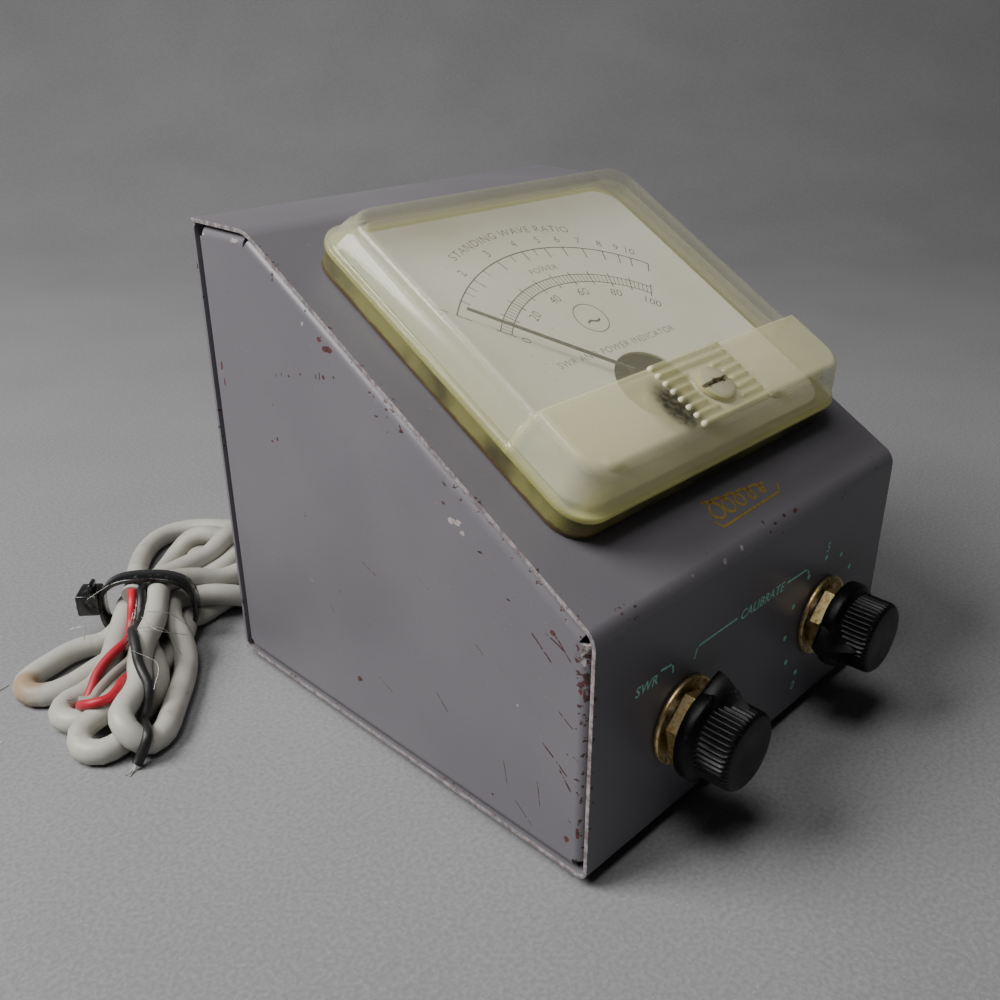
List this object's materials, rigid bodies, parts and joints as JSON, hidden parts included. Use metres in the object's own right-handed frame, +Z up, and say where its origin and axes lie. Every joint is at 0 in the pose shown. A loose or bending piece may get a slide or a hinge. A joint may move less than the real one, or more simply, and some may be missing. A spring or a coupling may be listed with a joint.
{
  "type": "swr meter",
  "caption": "Remote SWR meter head: sloping-front sheet-steel cabinet with a clear-fronted panel meter, two pointer knobs, and a coiled cable with bare ends.",
  "frame": {"origin": "on the floor under the middle of the meter head, knobs and rear grommet included, the loose cord left out", "axes": "+Z up, +Y towards the rear panel, +X to the right of someone facing the front panel"},
  "size_m": [0.1525, 0.1941, 0.109],
  "materials": {
    "case_paint": "grey-mauve semi-gloss enamel, chipped at the edges",
    "screw_steel": "dull plated steel",
    "rubber": "black moulded rubber",
    "yellowed_clear_plastic": "clear moulded styrene, aged yellow at its edges",
    "bakelite": "polished black phenolic moulding",
    "dial_white": "cream-white satin paint with printed scales",
    "soft_iron": "plain turned iron",
    "magnet_steel": "ground cast magnet alloy",
    "nickelled_brass": "nickel plate worn to the brass",
    "coil_copper": "lacquered copper winding",
    "pointer_grey": "dark painted aluminium",
    "phenolic_sheet": "brown laminated phenolic",
    "cord_grey": "warm grey vinyl jacket",
    "tie_black": "black nylon",
    "lead_red": "red vinyl insulation",
    "lead_black": "black vinyl insulation",
    "tinned_braid": "tinned copper strands"
  },
  "bodies": {
    "cabinet": {"case_wrap": "case_paint", "side_panel_left": "case_paint", "side_panel_right": "case_paint", "rear_panel": "case_paint", "rear_screw_1": "screw_steel", "rear_screw_2": "screw_steel", "rear_screw_3": "screw_steel", "rear_screw_4": "screw_steel", "switch_body": "screw_steel", "pot_body": "screw_steel", "foot_front_left": "rubber", "foot_front_right": "rubber", "foot_rear_left": "rubber", "foot_rear_right": "rubber", "cable_grommet": "rubber", "meter_base": "yellowed_clear_plastic", "meter_cover": "yellowed_clear_plastic", "meter_nut_1": "nickelled_brass", "meter_nut_2": "nickelled_brass", "meter_nut_3": "nickelled_brass", "meter_nut_4": "nickelled_brass", "terminal_stud_left": "nickelled_brass", "terminal_stud_right": "nickelled_brass", "terminal_nut_left": "nickelled_brass", "terminal_nut_right": "nickelled_brass", "dial_screw_left": "nickelled_brass", "dial_screw_right": "nickelled_brass", "core_bar": "nickelled_brass", "upper_bridge": "nickelled_brass", "lower_bridge": "nickelled_brass", "jewel_screw_upper": "nickelled_brass", "jewel_screw_lower": "nickelled_brass", "upper_spring": "nickelled_brass", "lower_spring": "nickelled_brass", "switch_washer": "nickelled_brass", "switch_nut": "nickelled_brass", "pot_washer": "nickelled_brass", "pot_nut": "nickelled_brass", "meter_can": "bakelite", "dial_plate": "dial_white", "yoke_ring": "soft_iron", "core_magnet": "magnet_steel", "switch_wafer": "phenolic_sheet", "cord_lead": "cord_grey", "cord_hank": "cord_grey", "cord_end": "cord_grey", "cable_tie": "tie_black", "lead_red": "lead_red", "lead_black": "lead_black", "lead_shield": "tinned_braid"},
    "pointer_and_coil": {"pointer": "pointer_grey", "moving_coil": "coil_copper"},
    "zero_adjuster": {"zero_screw": "yellowed_clear_plastic"},
    "zero_lever": {"zero_arm": "nickelled_brass"},
    "function_control": {"switch_knob": "bakelite", "switch_shaft": "screw_steel", "switch_set_screw": "screw_steel"},
    "level_control": {"pot_knob": "bakelite", "pot_shaft": "screw_steel", "pot_set_screw": "screw_steel"}
  },
  "joints": [
    {"name": "function_switch_turn", "type": "hinge", "parent": "cabinet", "child": "function_control", "pos_m": [-0.025, -0.04735, 0.0242], "axis": [0, 1, 0], "range_deg": [-30, 0]},
    {"name": "level_control_turn", "type": "hinge", "parent": "cabinet", "child": "level_control", "pos_m": [0.025, -0.04735, 0.0242], "axis": [0, 1, 0], "range_deg": [-56, 244]},
    {"name": "pointer_swing", "type": "hinge", "parent": "cabinet", "child": "pointer_and_coil", "pos_m": [0, -0.01784, 0.07019], "axis": [0, 0.5013, -0.8653], "range_deg": [0, 87.6], "stiffness_Nm_per_rad": 0.00003},
    {"name": "zero_screw_turn", "type": "hinge", "parent": "cabinet", "child": "zero_adjuster", "pos_m": [0, -0.0252, 0.06593], "axis": [0, -0.5013, 0.8653], "range_deg": [-30, 30]},
    {"name": "zero_lever_turn", "type": "hinge", "parent": "cabinet", "child": "zero_lever", "pos_m": [0, -0.01784, 0.07019], "axis": [0, -0.5013, 0.8653], "range_deg": [-7.2, 7.2]}
  ],
  "couplings": [
    {"joint": "zero_lever_turn", "follows": "zero_screw_turn", "ratio": -0.2319}
  ]
}
